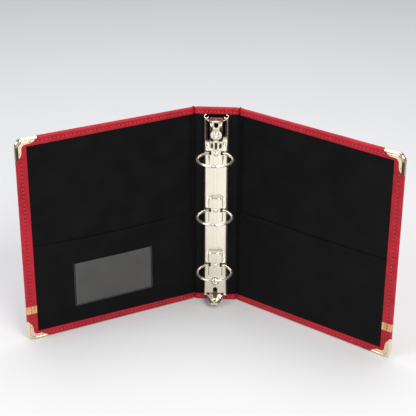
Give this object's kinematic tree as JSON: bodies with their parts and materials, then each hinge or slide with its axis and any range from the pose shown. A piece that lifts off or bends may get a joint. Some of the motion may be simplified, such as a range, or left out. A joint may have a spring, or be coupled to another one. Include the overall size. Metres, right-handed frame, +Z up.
{
  "type": "three-ring binder",
  "caption": "Leather three-ring binder standing open, with leather covers, inner pockets, card window, metal corners and a lever-opened ring mechanism.",
  "frame": {"origin": "middle of the spine's lower edge face, which stands on the table", "axes": "+Z up along the spine; the inside and the rings face -Y; +X towards the back cover"},
  "size_m": [0.401, 0.1199, 0.24],
  "materials": {
    "red_leather": "fine-grained red leather, semi-matt",
    "black_lining": "smooth black leatherette lining, matt",
    "gold_band": "pale gold-tan leather strip",
    "board": "grey-brown binder's board",
    "nickel": "polished, warm champagne plating",
    "clear_film": "clear vinyl over the black pocket"
  },
  "bodies": {
    "spine": {"spine_board": "board", "spine_leather": "red_leather", "spine_lining": "black_lining", "spine_band": "gold_band", "ring_shield": "nickel", "ring_rivets": "nickel", "rivet_washers": "nickel", "lever_pins": "nickel"},
    "front_hinge": {"front_hinge_leather": "red_leather", "front_hinge_lining": "black_lining", "front_hinge_band": "gold_band"},
    "front_cover": {"front_board": "board", "front_leather": "red_leather", "front_lining": "black_lining", "front_pocket": "black_lining", "card_window": "clear_film", "front_band": "gold_band", "front_corner_top": "nickel", "front_corner_bottom": "nickel"},
    "back_hinge": {"back_hinge_leather": "red_leather", "back_hinge_lining": "black_lining", "back_hinge_band": "gold_band"},
    "back_cover": {"back_board": "board", "back_leather": "red_leather", "back_lining": "black_lining", "back_pocket": "black_lining", "back_band": "gold_band", "back_corner_top": "nickel", "back_corner_bottom": "nickel"},
    "left_rail_set": {"left_rail": "nickel", "left_ring_top": "nickel", "left_ring_middle": "nickel", "left_ring_bottom": "nickel"},
    "right_rail_set": {"right_rail": "nickel", "right_ring_top": "nickel", "right_ring_middle": "nickel", "right_ring_bottom": "nickel"},
    "top_lever_body": {"top_lever": "nickel"},
    "bottom_lever_body": {"bottom_lever": "nickel"}
  },
  "joints": [
    {"name": "front_spine_crease", "type": "hinge", "parent": "spine", "child": "front_hinge", "pos_m": [-0.0233, 0.0024, 0.12], "axis": [0, 0, 1], "range_deg": [-60.7, 29.3]},
    {"name": "front_cover_crease", "type": "hinge", "parent": "front_hinge", "child": "front_cover", "pos_m": [-0.02908, 0.00078, 0.12], "axis": [0, 0, 1], "range_deg": [-60.7, 29.3]},
    {"name": "back_spine_crease", "type": "hinge", "parent": "spine", "child": "back_hinge", "pos_m": [0.0233, 0.0024, 0.12], "axis": [0, 0, -1], "range_deg": [-62, 28]},
    {"name": "back_cover_crease", "type": "hinge", "parent": "back_hinge", "child": "back_cover", "pos_m": [0.02904, 0.00065, 0.12], "axis": [0, 0, -1], "range_deg": [-62, 28]},
    {"name": "left_rings", "type": "hinge", "parent": "spine", "child": "left_rail_set", "pos_m": [-0.0106, -0.004, 0.12], "axis": [0, 0, 1], "range_deg": [-14, 0]},
    {"name": "right_rings", "type": "hinge", "parent": "spine", "child": "right_rail_set", "pos_m": [0.0106, -0.004, 0.12], "axis": [0, 0, -1], "range_deg": [-14, 0]},
    {"name": "top_lever_turn", "type": "hinge", "parent": "spine", "child": "top_lever_body", "pos_m": [0, -0.005, 0.2282], "axis": [1, 0, 0], "range_deg": [-25.2, 0]},
    {"name": "bottom_lever_turn", "type": "hinge", "parent": "spine", "child": "bottom_lever_body", "pos_m": [0, -0.005, 0.0118], "axis": [-1, 0, 0], "range_deg": [-25.2, 0]}
  ],
  "couplings": [
    {"joint": "right_rings", "follows": "left_rings", "ratio": 1},
    {"joint": "top_lever_turn", "follows": "left_rings", "ratio": 1.8},
    {"joint": "bottom_lever_turn", "follows": "left_rings", "ratio": 1.8}
  ]
}
